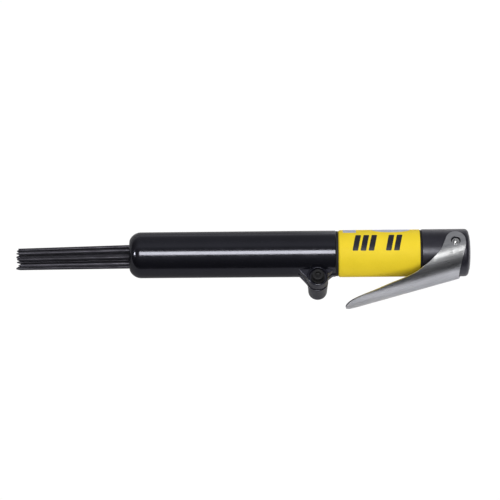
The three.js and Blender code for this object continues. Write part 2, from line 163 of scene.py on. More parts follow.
def boxed(name, x0, x1, y0, y1, z0, z1):
    v = [(x, y, z) for x in (x0, x1) for y in (y0, y1) for z in (z0, z1)]
    f = [(0, 1, 3, 2), (4, 6, 7, 5), (0, 4, 5, 1), (2, 3, 7, 6), (0, 2, 6, 4), (1, 5, 7, 3)]
    return raw(name, v, f)


def slab(name, outline, y0, y1):
    """An outline in X and Z, from y0 to y1."""
    n = len(outline)
    v = [(x, y0, z) for x, z in outline] + [(x, y1, z) for x, z in outline]
    f = [tuple(range(n)), tuple(range(2 * n - 1, n - 1, -1))]
    f += [(i, (i + 1) % n, n + (i + 1) % n, n + i) for i in range(n)]
    return raw(name, v, f)


def joined(name, *meshes):
    bm = bmesh.new()
    for m in meshes:
        bm.from_mesh(m)
    out = bpy.data.meshes.new(name)
    bm.to_mesh(out)
    bm.free()
    return out


def modified(mesh, *steps):
    """Applies modifiers to a mesh: (type, {settings}) or ("CUT" | "ADD" | "COMMON", mesh)."""
    obj = bpy.data.objects.new("work", mesh)
    scene.collection.objects.link(obj)
    helpers = []
    for kind, what in steps:
        if kind in ("CUT", "ADD", "COMMON"):
            h = bpy.data.objects.new("helper", what)
            scene.collection.objects.link(h)
            helpers.append(h)
            m = obj.modifiers.new("b", "BOOLEAN")
            m.operation = {"CUT": "DIFFERENCE", "ADD": "UNION", "COMMON": "INTERSECT"}[kind]
            m.solver = "EXACT"
            m.object = h
        else:
            m = obj.modifiers.new("m", kind)
            for k, v in what.items():
                setattr(m, k, v)
    bpy.context.view_layer.update()
    done = bpy.data.meshes.new_from_object(obj.evaluated_get(bpy.context.evaluated_depsgraph_get()))
    for o in [obj, *helpers]:
        bpy.data.objects.remove(o)
    return done


def piece(obj, body, slot, material, *nodes):
    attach(obj, body)
    if nodes:
        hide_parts(*nodes)
    obj.data.materials.clear()
    obj.data.materials.append(material)
    return obj


# ------------------------------------------------------------------ materials
def srgb(r, g, b):
    f = lambda c: c / 12.92 if c <= 0.04045 else ((c + 0.055) / 1.055) ** 2.4
    return (f(r / 255), f(g / 255), f(b / 255), 1)


class Material:
    def __init__(self, name, **settings):
        self.m = bpy.data.materials.new(name)
        self.m.use_nodes = True
        self.t = self.m.node_tree
        self.b = self.t.nodes["Principled BSDF"]
        self.coords = self.t.nodes.new("ShaderNodeTexCoord")
        self.last_bump = None
        for k, v in settings.items():
            self.b.inputs[k.replace("_", " ")].default_value = v

    def mapping(self, scale=(1, 1, 1), source="Object"):
        n = self.t.nodes.new("ShaderNodeMapping")
        n.inputs["Scale"].default_value = scale
        self.t.links.new(self.coords.outputs[source], n.inputs["Vector"])
        return n.outputs["Vector"]

    def noise(self, scale, detail=3, rough=0.55, stretch=(1, 1, 1), source="Object", distortion=0):
        n = self.t.nodes.new("ShaderNodeTexNoise")
        n.inputs["Scale"].default_value = scale
        n.inputs["Detail"].default_value = detail
        n.inputs["Roughness"].default_value = rough
        n.inputs["Distortion"].default_value = distortion
        self.t.links.new(self.mapping(stretch, source), n.inputs["Vector"])
        return n.outputs["Fac"]

    def span(self, value, lo, hi, start=0.3, end=0.7):
        n = self.t.nodes.new("ShaderNodeMapRange")
        n.inputs["From Min"].default_value, n.inputs["From Max"].default_value = start, end
        n.inputs["To Min"].default_value, n.inputs["To Max"].default_value = lo, hi
        self.t.links.new(value, n.inputs["Value"])
        return n.outputs["Result"]

    def colours(self, value, *stops):
        n = self.t.nodes.new("ShaderNodeValToRGB")
        e = n.color_ramp.elements
        e[0].position, e[0].color = stops[0]
        e[1].position, e[1].color = stops[-1]
        for p, c in stops[1:-1]:
            e.new(p).color = c
        self.t.links.new(value, n.inputs["Fac"])
        return n.outputs["Color"]

    def product(self, a, b, fac=1.0):
        n = self.t.nodes.new("ShaderNodeMix")
        n.data_type, n.blend_type = "RGBA", "MULTIPLY"
        n.inputs["Factor"].default_value = fac
        self.t.links.new(a, n.inputs["A"])
        self.t.links.new(b, n.inputs["B"])
        return n.outputs["Result"]

    def bump(self, height, distance, strength=1.0):
        n = self.t.nodes.new("ShaderNodeBump")
        n.inputs["Distance"].default_value = distance
        n.inputs["Strength"].default_value = strength
        self.t.links.new(height, n.inputs["Height"])
        if self.last_bump:
            self.t.links.new(self.last_bump, n.inputs["Normal"])
        self.last_bump = n.outputs["Normal"]
        self.t.links.new(self.last_bump, self.b.inputs["Normal"])
        return self

    def set(self, socket, value):
        self.t.links.new(value, self.b.inputs[socket])
        return self


def metal(name, dark, light, rough, grain=(1, 1, 1), grain_scale=900, bump=2e-6, metallic=1.0):
    """Worked metal: grain stretched along one way, faint stains and a broken gloss."""
    k = Material(name, Metallic=metallic)
    lines = k.noise(grain_scale, 4, 0.6, grain)
    stains = k.noise(60, 4, 0.6)
    k.set("Base Color", k.product(k.colours(lines, (0.3, dark), (0.7, light)), k.colours(stains, (0.3, (0.86, 0.86, 0.87, 1)), (0.65, (1, 1, 1, 1)))))
    k.set("Roughness", k.span(lines, *rough))
    return k.bump(lines, bump).m


def black_gloss(name, lift):
    k = Material(name, IOR=1.5, Specular_IOR_Level=0.62, Specular_Tint=(0.88, 0.89, 1.08, 1), Coat_Weight=0.12, Coat_Roughness=0.12)
    fine = k.noise(1500, 3, 0.5)
    broad = k.noise(35, 3, 0.5)
    # lift multiplies the paint's colour; a lift above 1 is painted light, a lighter copy of the same paint
    k.set("Base Color", k.colours(broad, (0.3, (0.0026 * lift, 0.0026 * lift, 0.0040 * lift, 1)), (0.7, (0.0042 * lift, 0.0042 * lift, 0.0062 * lift, 1))))
    k.set("Roughness", k.span(k.noise(220, 4, 0.6), 0.12, 0.19))
    k.bump(fine, 1.2e-6)
    return k.m


def black_satin():
    k = Material("black_satin_paint", IOR=1.5, Specular_IOR_Level=0.6, Specular_Tint=(0.86, 0.87, 1.02, 1))
    k.set("Base Color", k.colours(k.noise(50, 4, 0.6), (0.3, (0.0095, 0.0090, 0.0125, 1)), (0.7, (0.0145, 0.0138, 0.0190, 1))))
    k.set("Roughness", k.span(k.noise(400, 4, 0.6), 0.3, 0.42))
    k.bump(k.noise(2600, 2, 0.5), 3e-6)
    return k.m


def yellow_plastic():
    k = Material("yellow_sleeve", IOR=1.48, Specular_IOR_Level=0.14)
    soft = k.noise(28, 4, 0.6)
    spots = k.noise(900, 3, 0.7)
    k.set("Base Color", k.product(
        k.colours(soft, (0.3, (0.725, 0.545, 0.021, 1)), (0.7, (0.79, 0.60, 0.029, 1))),
        k.colours(spots, (0.25, (0.94, 0.94, 0.9, 1)), (0.45, (1, 1, 1, 1)))))
    k.set("Roughness", k.span(k.noise(180, 4, 0.6), 0.48, 0.62))
    k.bump(k.noise(2200, 2, 0.5), 2.5e-6)
    return k.m


def print_ink(name, dark, light):
    k = Material(name, IOR=1.48, Specular_IOR_Level=0.4)
    k.set("Base Color", k.colours(k.noise(400, 4, 0.7), (0.3, dark), (0.7, light)))
    k.set("Roughness", k.span(k.noise(250, 3, 0.6), 0.38, 0.52))
    k.bump(k.noise(3000, 2, 0.5), 2e-6)
    return k.m


def rubber():
    k = Material("black_rubber", IOR=1.5, Specular_IOR_Level=0.4)
    k.set("Base Color", k.colours(k.noise(300, 4, 0.6), (0.3, (0.008, 0.008, 0.009, 1)), (0.7, (0.017, 0.017, 0.018, 1))))
    k.set("Roughness", k.span(k.noise(500, 3, 0.6), 0.6, 0.8))
    k.bump(k.noise(1800, 3, 0.6), 8e-6)
    return k.m


def brushed_lever():
    """Stainless sheet ground along its length: long fine scratches, a few deeper ones, a soft haze."""
    k = Material("brushed_stainless", Metallic=1.0, IOR=1.5)
    grain = k.noise(1500, 5, 0.65, (0.035, 1, 1), source="UV")
    wide = k.noise(260, 3, 0.55, (0.06, 1, 1), source="UV")
    haze = k.noise(40, 3, 0.5)
    tone = k.product(
        k.colours(grain, (0.25, (0.47, 0.478, 0.505, 1)), (0.75, (0.69, 0.70, 0.735, 1))),
        k.colours(wide, (0.3, (0.84, 0.84, 0.85, 1)), (0.7, (1, 1, 1, 1))))
    k.set("Base Color", k.product(tone, k.colours(haze, (0.3, (0.92, 0.92, 0.925, 1)), (0.7, (1, 1, 1, 1)))))
    k.set("Roughness", k.span(grain, 0.25, 0.40))
    k.bump(grain, 5e-6)
    k.bump(wide, 1.0e-5)
    k.bump(k.noise(150, 2, 0.5, distortion=0.6), 1.3e-4)
    return k.m


def needle_steel(i):
    tint = [(0.050, 0.085), (0.036, 0.062), (0.062, 0.105), (0.044, 0.074)][i % 4]
    k = Material(f"needle_steel_{i + 1:02d}", Metallic=0.85, IOR=1.5)
    scale = k.noise(240 + 17 * i, 5, 0.65, (0.25, 1, 1), distortion=0.4)
    fine = k.noise(2400, 3, 0.6, (0.12, 1, 1))
    d, l = tint
    k.set("Base Color", k.colours(scale, (0.3, (d, d * 0.98, d * 1.22, 1)), (0.62, (l, l * 0.98, l * 1.2, 1)), (0.8, (l * 1.3, l * 1.28, l * 1.5, 1))))
    k.set("Roughness", k.span(scale, 0.58, 0.42))
    k.bump(fine, 6e-6)
    return k.m


M = {
    "gloss": black_gloss("black_gloss_paint", 1.0),
    # a copy of the same black gloss paint, 3.2 times lighter in colour: painted light for the clamp boss
    "gloss_lit": black_gloss("black_gloss_paint_lit_copy", 3.2),
    "satin": black_satin(),
    "yellow": yellow_plastic(),
    "ink": print_ink("print_black", (0.006, 0.0065, 0.012, 1), (0.012, 0.0125, 0.021, 1)),
    "pale": print_ink("print_pale", srgb(150, 157, 176), srgb(172, 179, 196)),
    "rubber": rubber(),
    "lever": brushed_lever(),
    "oxide": metal("black_oxide_steel", (0.020, 0.020, 0.022, 1), (0.045, 0.045, 0.048, 1), (0.36, 0.5), (1, 1, 1), 1200, metallic=0.75),
    "ground": metal("ground_steel", (0.42, 0.425, 0.44, 1), (0.58, 0.585, 0.60, 1), (0.18, 0.32), (0.2, 1, 1), 1600),
    "polished": metal("polished_steel", (0.62, 0.62, 0.64, 1), (0.78, 0.78, 0.80, 1), (0.10, 0.2), (1, 1, 1), 1800, 1e-6),
    "wire": metal("spring_wire", (0.20, 0.205, 0.22, 1), (0.33, 0.335, 0.35, 1), (0.28, 0.42), (1, 1, 1), 1400),
    "pivot": metal("pivot_steel", (0.66, 0.665, 0.68, 1), (0.82, 0.825, 0.84, 1), (0.25, 0.34), (1, 1, 1), 1800, 1e-6),
    "brass": metal("turned_brass", (0.44, 0.32, 0.11, 1), (0.62, 0.47, 0.19, 1), (0.2, 0.35), (0.2, 1, 1), 1500),
}

# ------------------------------------------------------------------ floor, light and camera
def sheet_of(name, x0, x1, y0, y1, z):
    mesh = bpy.data.meshes.new(name)
    mesh.from_pydata([(x0, y0, z), (x1, y0, z), (x1, y1, z), (x0, y1, z)], [], [(0, 1, 2, 3)])
    obj = bpy.data.objects.new(name, mesh)
    scene.collection.objects.link(obj)
    return obj


ground = cad_box[0][2] - 0.0002
# The paper that the tool lies on: one sheet that the camera sees, burnt out to white as on a light table, and one that
# lights the tool from below and shows in its gloss.
# That second sheet has painted shade: it is darker at low X, towards the nose tube, and lighter further along, towards
# the lever.
floor = sheet_of("floor", -30, 30, -30, 30, ground - 0.0002)
k = Material("floor_white")
k.t.nodes.remove(k.b)
glow = k.t.nodes.new("ShaderNodeEmission")
glow.inputs["Color"].default_value = (1, 1, 1, 1)
glow.inputs["Strength"].default_value = 1.02
k.t.links.new(glow.outputs[0], k.t.nodes["Material Output"].inputs["Surface"])
floor.data.materials.append(k.m)
bounce = sheet_of("floor_bounce", -1.6, 1.6, -0.15, 3.0, ground)
k = Material("floor_paper_painted_shade", IOR=1.4, Specular_IOR_Level=0.0, Roughness=0.9)
paper = k.colours(k.noise(6, 3, 0.5), (0.3, (0.93, 0.93, 0.94, 1)), (0.7, (1.0, 1.0, 1.0, 1)))
place = k.t.nodes.new("ShaderNodeSeparateXYZ")
k.t.links.new(k.coords.outputs["Object"], place.inputs[0])
# painted shade: the paper's colour is 0.30 below X 0.04 m, towards the nose tube, rising to 0.82 from X 0.13 m on
k.set("Base Color", k.product(paper, k.colours(k.span(place.outputs["X"], 0, 1, 0.04, 0.13), (0.0, (0.30, 0.30, 0.30, 1)), (1.0, (0.82, 0.82, 0.82, 1)))))
bounce.data.materials.append(k.m)
bounce.visible_camera = False
for side in ("diffuse", "glossy", "transmission", "volume_scatter", "shadow"):
    setattr(floor, "visible_" + side, False)

LEAN = math.radians(28.5)  # from the side of the tool that is up, towards the lever
to_camera = (-ax_y * math.cos(LEAN) - ax_z * math.sin(LEAN)).normalized()
image_up = (ax_z * math.cos(LEAN) - ax_y * math.sin(LEAN)).normalized()
to_camera = (to_camera - Vector((1, 0, 0)) * to_camera.x).normalized()
image_up = Vector((1, 0, 0)).cross(-to_camera) * -1 if image_up.dot(Vector((1, 0, 0)).cross(-to_camera)) < 0 else Vector((1, 0, 0)).cross(-to_camera)

DISTANCE = 2.2
aim = TOOL @ Vector((102.35 * MM, 0, 0)) + image_up * 3.75 * MM
cam_data = bpy.data.cameras.new("camera")
cam_data.sensor_width = 36
cam_data.lens = 36 * DISTANCE / (500 * 0.85 * MM)
cam_data.clip_start, cam_data.clip_end = 0.05, 60
camera = bpy.data.objects.new("camera", cam_data)
scene.collection.objects.link(camera)
right = Vector((1, 0, 0))
level = Matrix((right, image_up, to_camera)).transposed().to_4x4()
camera.matrix_world = Matrix.Translation(aim + to_camera * DISTANCE) @ level @ Matrix.Rotation(math.radians(-0.22), 4, "Z")
scene.camera = camera


def strip(name, degrees, wide, long, distance, power, colour=(1, 1, 1)):
    """A soft box parallel to the tool, a given angle above the camera as seen from the tool."""
    data = bpy.data.lights.new(name, "AREA")
    data.shape, data.size, data.size_y = "RECTANGLE", long, wide
    data.energy, data.color = power, colour
    light = bpy.data.objects.new(name, data)
    scene.collection.objects.link(light)
    a = math.radians(degrees)
    d = to_camera * math.cos(a) + image_up * math.sin(a)
    u = image_up * math.cos(a) - to_camera * math.sin(a)
    light.matrix_world = Matrix.Translation(aim + d * distance) @ Matrix((right, u, d)).transposed().to_4x4()
    light.visible_camera = False
    return light


key = strip("key_strip", 9.0, 0.71, 1.2, 2.6, 34, (1.03, 1.02, 0.96))
key.visible_diffuse = False
for name, degrees, power in (("fill_above", 72, 40), ("fill_front", -16, 60)):
    fill = strip(name, degrees, 1.6, 2.4, 2.4, power, (1.0, 0.99, 1.0))
    fill.visible_glossy = False

# A small lamp far to the left, beyond the nose: it only puts the glints on rounded corners.
data = bpy.data.lights.new("glint_lamp", "AREA")
data.shape, data.size, data.energy = "DISK", 0.42, 16
glint = bpy.data.objects.new("glint_lamp", data)
scene.collection.objects.link(glint)
side = (to_camera * math.cos(math.radians(57)) - right * math.sin(math.radians(57)) + image_up * 0.12).normalized()
across = Vector((0, 0, 1)).cross(side).normalized()
glint.matrix_world = Matrix.Translation(aim + side * 2.6) @ Matrix((across, side.cross(across), side)).transposed().to_4x4()
glint.visible_camera = False
glint.visible_diffuse = False

# Studio surroundings: dim in front and overhead, paler towards the back and the far horizon.
world = bpy.data.worlds.new("studio")
scene.world = world
world.use_nodes = True
wt = world.node_tree
wt.nodes.clear()
coord = wt.nodes.new("ShaderNodeTexCoord")
level_up = wt.nodes.new("ShaderNodeVectorMath")
level_up.operation = "DOT_PRODUCT"
level_up.inputs[1].default_value = tuple(image_up)
front = wt.nodes.new("ShaderNodeVectorMath")
front.operation = "DOT_PRODUCT"
front.inputs[1].default_value = tuple(to_camera)
wt.links.new(coord.outputs["Generated"], level_up.inputs[0])
wt.links.new(coord.outputs["Generated"], front.inputs[0])
angle = wt.nodes.new("ShaderNodeMath")
angle.operation = "ARCTAN2"
wt.links.new(level_up.outputs["Value"], angle.inputs[0])
wt.links.new(front.outputs["Value"], angle.inputs[1])
turns = wt.nodes.new("ShaderNodeMapRange")
turns.inputs["From Min"].default_value, turns.inputs["From Max"].default_value = -math.pi, math.pi
wt.links.new(angle.outputs[0], turns.inputs["Value"])
ramp = wt.nodes.new("ShaderNodeValToRGB")
stops = [(-180, 0.30), (-110, 0.27), (-90, 0.25), (-83, 0.22), (-76, 0.14), (-70, 0.05), (-62, 0.035), (-45, 0.05), (-33, 0.075), (-23, 0.12),
         (-14, 0.2), (0, 0.2), (24, 0.14), (32, 0.15), (40, 0.34), (47, 0.42), (56, 0.36), (68, 0.28), (80, 0.25), (95, 0.25), (103, 0.27),
         (111, 0.42), (118, 0.7), (124, 0.8), (180, 0.6)]
els = ramp.color_ramp.elements
els[0].position, els[0].color = (stops[0][0] + 180) / 360, (stops[0][1],) * 3 + (1,)
els[1].position, els[1].color = (stops[-1][0] + 180) / 360, (stops[-1][1],) * 3 + (1,)
for d, v in stops[1:-1]:
    els.new((d + 180) / 360).color = (v, v, v * 1.02, 1)
wt.links.new(turns.outputs["Result"], ramp.inputs["Fac"])
back = wt.nodes.new("ShaderNodeBackground")
# darker towards the two ends of the tool
ends = wt.nodes.new("ShaderNodeSeparateXYZ")
wt.links.new(coord.outputs["Generated"], ends.inputs[0])
far = wt.nodes.new("ShaderNodeMath")
far.operation = "ABSOLUTE"
wt.links.new(ends.outputs["X"], far.inputs[0])
dim = wt.nodes.new("ShaderNodeMapRange")
dim.inputs["From Min"].default_value, dim.inputs["From Max"].default_value = 0.3, 0.85
dim.inputs["To Min"].default_value, dim.inputs["To Max"].default_value = 1.0, 0.3
wt.links.new(far.outputs[0], dim.inputs["Value"])
wt.links.new(dim.outputs["Result"], back.inputs["Strength"])
wt.links.new(ramp.outputs["Color"], back.inputs["Color"])
wo = wt.nodes.new("ShaderNodeOutputWorld")
wt.links.new(back.outputs[0], wo.inputs["Surface"])
scene.view_settings.view_transform = "Standard"

# ------------------------------------------------------------------ nose tube
def arc(cx, cr, r, a0, a1, n):
    return [(cx + r * math.cos(math.radians(a0 + (a1 - a0) * i / n)), cr + r * math.sin(math.radians(a0 + (a1 - a0) * i / n))) for i in range(n + 1)]


NOSE_R, R_FRONT, R_REAR, BORE, LIP, TUBE_END = 10.6, 19.5, 19.68, 17.75, 12.9, 175.1
BOSS_X, BOSS_Z, BOSS_R = 159.6, -26.1, 8.8
cx, cr = NOSE_R - 0.7, R_FRONT - NOSE_R
a_out = 180 - math.degrees(math.asin((LIP + 0.25 - cr) / NOSE_R))
a_in = 180 - math.degrees(math.asin((LIP + 0.25 - (BORE - 8.85)) / 8.85))
nose_out = arc(cx, cr, NOSE_R, 90, a_out, 28)
nose_in = arc(cx, BORE - 8.85, 8.85, a_in, 90, 16)
lip_a, lip_b = nose_out[-1], nose_in[0]
lip_mid = [(lip_a[0] + 0.16, LIP + 0.07), ((lip_a[0] + lip_b[0]) / 2, LIP), (lip_b[0] - 0.2, LIP + 0.05)]
long_steps = [(NOSE_R + (TUBE_END - 0.9 - NOSE_R) * t, R_FRONT + (R_REAR - R_FRONT) * t) for t in [i / 14 for i in range(14, 0, -1)]]
outline = (
    [(TUBE_END - 0.3, BORE), (TUBE_END, BORE + 0.3), (TUBE_END, R_REAR - 0.75)]
    + arc(TUBE_END - 0.75, R_REAR - 0.75, 0.75, 15, 90, 5)
    + long_steps[1:] + nose_out + lip_mid + nose_in
    + [(40, BORE), (80, BORE), (120, BORE), (137, BORE)]
)
tube = lathe("nose_tube_fine", outline, 192)
SLOT = (-1.1, 1.1)
tube = modified(tube, ("CUT", boxed("slot", 143, 180, SLOT[0], SLOT[1], -30, -12)))
piece(finish_mesh("nose_tube_fine", tube, TOOL), "nose", "black_paint", M["gloss"], "nose_tube")

boss = lathe("b", rounded([(-10.5, 0), (-10.5, BOSS_R, 0.8), (2, BOSS_R), (20.7, BOSS_R - 0.9, 1.4), (20.7, 0)]), 96, "Y")
shifted(boss, BOSS_X, 0, BOSS_Z)
web = slab("w", [(143.0, -14), (143.6, -18.2), (150.2, -26.2), (151.6, -28.4), (159.6, -30), (167.6, -25.2), (168.6, -22.3), (172.6, -18.9), (174.2, -14)], -6.9, 6.9)
skin = lathe("s", [(140.5, 17.0), (174.9, 17.0), (174.9, 19.45), (140.5, 19.45)], 128)
sector = boxed("k", 139, 174.8, -12, 12, -30, -8)
skin = modified(skin, ("COMMON", sector))
lump = modified(
    joined("lump", boss, web, skin),
    ("REMESH", {"mode": "VOXEL", "voxel_size": 0.45, "use_smooth_shade": True}),
    ("SMOOTH", {"factor": 0.5, "iterations": 14}),
)
# Smoothing pulls the two round ends in: they are put back.
co = np.array([v.co for v in lump.vertices])
for s, start, end in ((-1, 6, 10.48), (1, 14, 20.68)):
    out = s * co[:, 1] > start
    co[out, 1] = s * (start + (s * co[out, 1] - start) * (end - start) / ((s * co[out, 1]).max() - start))
lump.vertices.foreach_set("co", co.ravel())
lump.update()
for cut in (
    boxed("slot", 143.2, 180, SLOT[0], SLOT[1], -40, -12),
    shifted(lathe("c", [(-20, 0), (-20, 7.6), (-6.3, 7.6), (-6.3, 3.3), (13.8, 3.3), (13.8, 0)], 64, "Y"), BOSS_X, 0, BOSS_Z),
    lathe("bore", [(100, 0), (190, 0), (190, 18.15), (100, 18.15)], 96),
):
    lump = modified(lump, ("CUT", cut))
lump = modified(
    lump,
    ("REMESH", {"mode": "VOXEL", "voxel_size": 0.32, "use_smooth_shade": True}),
    ("SMOOTH", {"factor": 0.5, "iterations": 3}),
)
# The rim of the lug sinks under the skin of the tube.
co = np.array([v.co for v in lump.vertices])
rad = np.hypot(co[:, 1], co[:, 2])
scale = np.where((rad > 18.7) & (rad < R_REAR + 0.03), 19.3 / rad, 1.0)
co[:, 1] *= scale
co[:, 2] *= scale
lump.vertices.foreach_set("co", co.ravel())
lump.update()
# the lug wears the lighter copy of the gloss paint: painted light
piece(finish_mesh("clamp_boss_fine", lump, TOOL, 60), "nose", "black_paint", M["gloss_lit"])

# clamp screw and washer
head = lathe("h", rounded([(-12.6, 0), (-12.6, 4.9, 0.5), (-8.0, 4.9, 0.15), (-8.0, 3.0), (13.2, 3.0, 0.5), (13.2, 0)]), 64, "Y")
hexagon = [(2.9 * math.cos(math.radians(60 * i + 12)), 2.9 * math.sin(math.radians(60 * i + 12))) for i in range(6)]
head = modified(head, ("CUT", slab("x", hexagon, -17, -9.8)), ("BEVEL", {"width": 0.12, "segments": 2, "limit_method": "ANGLE", "angle_limit": math.radians(50)}))
piece(finish_mesh("clamp_screw_fine", shifted(head, BOSS_X, 0, BOSS_Z), TOOL), "nose", "fastener_steel", M["oxide"], "clamp_screw")
washer = lathe("w", rounded([(-7.7, 3.5, 0.2), (-6.6, 3.5, 0.2), (-6.6, 6.0, 0.2), (-7.7, 6.0, 0.2)]), 64, "Y")
piece(finish_mesh("clamp_washer_fine", shifted(washer, BOSS_X, 0, BOSS_Z), TOOL), "nose", "fastener_steel", M["oxide"], "clamp_washer")

# ------------------------------------------------------------------ needles
TURNS = [20, 42, 12, 95, 34, 8, 30, 48, 22, 45, 120, 18]
for i in range(12):
    node = f"needle_{i + 1:02d}"
    axis = Vector(joints[node + "_slide"]["axis"]).normalized()
    co = np.array([v.co for v in frame["nodes"][node].data.vertices])
    along = co @ np.array(axis)
    rear = Vector(co[along > along.max() - 2e-5].mean(0))
    length = (along.max() - along.min()) / MM
    side = axis.cross(Vector((0, 0, 1))).normalized()
    place = Matrix.Translation(rear) @ Matrix((axis, side, axis.cross(side))).transposed().to_4x4()
    L, r = length, 1.5
    steps = [(-L + 6 + (L - 10.5) * t, r) for t in [j / 10 for j in range(10, -1, -1)]]
    outline = rounded([(0, 0), (0, 2.5, 0.35), (-3.5, 2.5, 0.2), (-3.5, r, 0.2)], closed=False) + steps + [(-L, r), (-L, 0)]
    bm = bmesh.new()
    bm.from_mesh(lathe("n", outline, 28))
    t = math.radians(TURNS[i])
    for s, slope, depth in ((1, 0.42 + 0.05 * (i % 3), 3.0 + 0.35 * (i % 4)), (-1, 0.36 + 0.06 * ((i + 1) % 3), 2.6 + 0.5 * (i % 3))):
        out = Vector((0, math.cos(t) * s, math.sin(t) * s))
        at = Vector((-L, 0, 0)) + out * 0.2
        run = math.atan2(1.32, depth)
        normal = (out * math.cos(run) - Vector((1, 0, 0)) * math.sin(run)).normalized()
        cut = bmesh.ops.bisect_plane(bm, geom=bm.verts[:] + bm.edges[:] + bm.faces[:], plane_co=at, plane_no=normal, clear_outer=True)
        rim = [e for e in cut["geom_cut"] if isinstance(e, bmesh.types.BMEdge)]
        bmesh.ops.holes_fill(bm, edges=[e for e in bm.edges if e.is_boundary], sides=0)
    bmesh.ops.recalc_face_normals(bm, faces=bm.faces)
    mesh = bpy.data.meshes.new(node)
    bm.to_mesh(mesh)
    bm.free()
    piece(finish_mesh(node + "_fine", mesh, place, 28), node, "needle_steel", needle_steel(i), node)

# ------------------------------------------------------------------ grip sleeve with its printed marks
outline = rounded([(177.1, 17.85), (246.2, 17.85, 0.2), (246.2, 20.0, 0.5), *arc(179.2, 17.9, 2.1, 90, 180, 9)])
piece(finish_mesh("grip_sleeve_fine", lathe("s", outline, 192), TOOL), "barrel", "yellow_sleeve", M["yellow"], "grip_sleeve")


def wrapped(name, shapes, base, thick, fine=1.0):
    """Thin prints on the sleeve: each shape is a list of (x, v), v in mm round the surface from the
    line that faces the camera, positive towards the top of the picture."""
    bm = bmesh.new()
    for shape in shapes:
        xs = [p[0] for p in shape]
        vs = [p[1] for p in shape]
        flat = bpy.data.meshes.new("f")
        flat.from_pydata([(x, v, 0) for x, v in shape], [], [tuple(range(len(shape)))])
        part = bmesh.new()
        part.from_mesh(flat)
        v0 = math.floor(min(vs))
        while v0 < max(vs):
            bmesh.ops.bisect_plane(part, geom=part.verts[:] + part.edges[:] + part.faces[:], plane_co=(0, v0, 0), plane_no=(0, 1, 0))
            v0 += fine
        ring = bmesh.ops.extrude_face_region(part, geom=part.faces[:])
        for v in [g for g in ring["geom"] if isinstance(g, bmesh.types.BMVert)]:
            v.co.z = thick
        bmesh.ops.recalc_face_normals(part, faces=part.faces)
        for v in part.verts:
            a = LEAN - v.co.y / base
            r = base + v.co.z - 0.02
            v.co = Vector((v.co.x, -r * math.cos(a), -r * math.sin(a)))
        part.to_mesh(flat)
        part.free()
        bm.from_mesh(flat)
    mesh = bpy.data.meshes.new(name)
    bmesh.ops.recalc_face_normals(bm, faces=bm.faces)
    bm.to_mesh(mesh)
    bm.free()
    return mesh


def slanted(x, v0, v1, w, lean):
    return [(x, v0), (x + w, v0), (x + w + lean, v1), (x + lean, v1)]


def softened(shape, r, n=4):
    return rounded([(x, v, r) for x, v in shape])


bars = [softened(slanted(x, 2.4, 17.8, 4.7, 3.0), 0.6) for x in (188.8, 195.6, 202.4, 216.9, 223.7)]
piece(finish_mesh("sleeve_print_bars", wrapped("bars", bars, 20.0, 0.06), TOOL, 40), "barrel", "yellow_sleeve", M["ink"])
pale = [softened([(181.2, 21.7), (192.2, 21.7), (192.2, 29.5), (181.2, 29.5)], 0.5)]
oval = [(222.0 + 16.2 * math.cos(math.radians(a)), 27.8 + 5.9 * math.sin(math.radians(a))) for a in range(0, 360, 8)]
piece(finish_mesh("sleeve_print_pale", wrapped("pale", pale + [oval], 20.0, 0.05), TOOL, 40), "barrel", "yellow_sleeve", M["pale"])

# ------------------------------------------------------------------ rings at the two ends of the sleeve
piece(finish_mesh("exhaust_ring_fine", lathe("e", rounded([(175.13, 17.85, 0.1), (177.07, 17.85, 0.1), (177.07, 19.15, 0.2), (175.13, 19.15, 0.2)]), 160), TOOL), "barrel", "rubber", M["rubber"], "exhaust_ring")
piece(finish_mesh("cap_gasket_fine", lathe("g", rounded([(246.5, 17.75, 0.15), (247.5, 17.75, 0.15), (247.5, 19.5, 0.25), (246.5, 19.5, 0.25)]), 160), TOOL), "barrel", "rubber", M["rubber"], "cap_gasket")

# ------------------------------------------------------------------ rear cap
CAP = 288.7
outline = rounded([
    (214.2, 3.2, 0.3), (252.0, 3.2), (252.0, 0.0), (260.0, 0.0), (260.0, 3.6), (271.6, 3.6), (271.6, 8.8), (CAP, 8.8, 0.3),
    (CAP, 12.2), (CAP - 0.35, 14.6), *arc(CAP - 4.55, 16.65, 3.5, 0, 90, 9), (247.8, 20.15, 0.45), (247.8, 17.4, 0.2), (236.4, 17.4, 0.3), (236.4, 13.4), (231.4, 13.4, 0.2),
    (231.4, 11.5, 0.3), (228.4, 11.5, 0.3), (228.4, 13.4, 0.2), (214.2, 13.4, 0.5)])
cap = lathe("c", outline, 192)
cuts = []
for z0, z1, r in ((-8.4, 15, 6.3), (14.9, 22, 8.3), (-14.2, -8.3, 4.6), (-22, -14.1, 4.3)):
    cuts.append(shifted(lathe("v", [(z0, 0), (z1, 0), (z1, r), (z0, r)], 64, "Z"), VALVE_X, 0, 0))
for s in (-1, 1):
    for a, b, r in ((12.2, 22, 2.3), (18.0, 22, 3.8)):
        lo, hi = sorted((s * a, s * b))
        cuts.append(shifted(lathe("p", [(lo, 0), (hi, 0), (hi, r), (lo, r)], 48, "Y"), PIVOT_X, 0, 0))
cap = modified(cap, *[("CUT", c) for c in cuts])
piece(finish_mesh("rear_cap_fine", cap, TOOL), "barrel", "black_satin", M["satin"], "rear_cap")
plug = lathe("p", rounded([(14.5, 0), (14.5, 5.9), (15.3, 5.9), (15.3, 7.9, 0.1), (18.2, 7.9, 0.45), (18.2, 0)]), 64, "Z")
hexp = [(3.4 * math.cos(math.radians(60 * i)), 3.4 * math.sin(math.radians(60 * i))) for i in range(6)]
well = bmesh.new()
low = [well.verts.new((x, y, 16.2)) for x, y in hexp]
high = [well.verts.new((x, y, 21.0)) for x, y in hexp]
well.faces.new(low), well.faces.new(high)
for i in range(6):
    well.faces.new((low[i], low[(i + 1) % 6], high[(i + 1) % 6], high[i]))
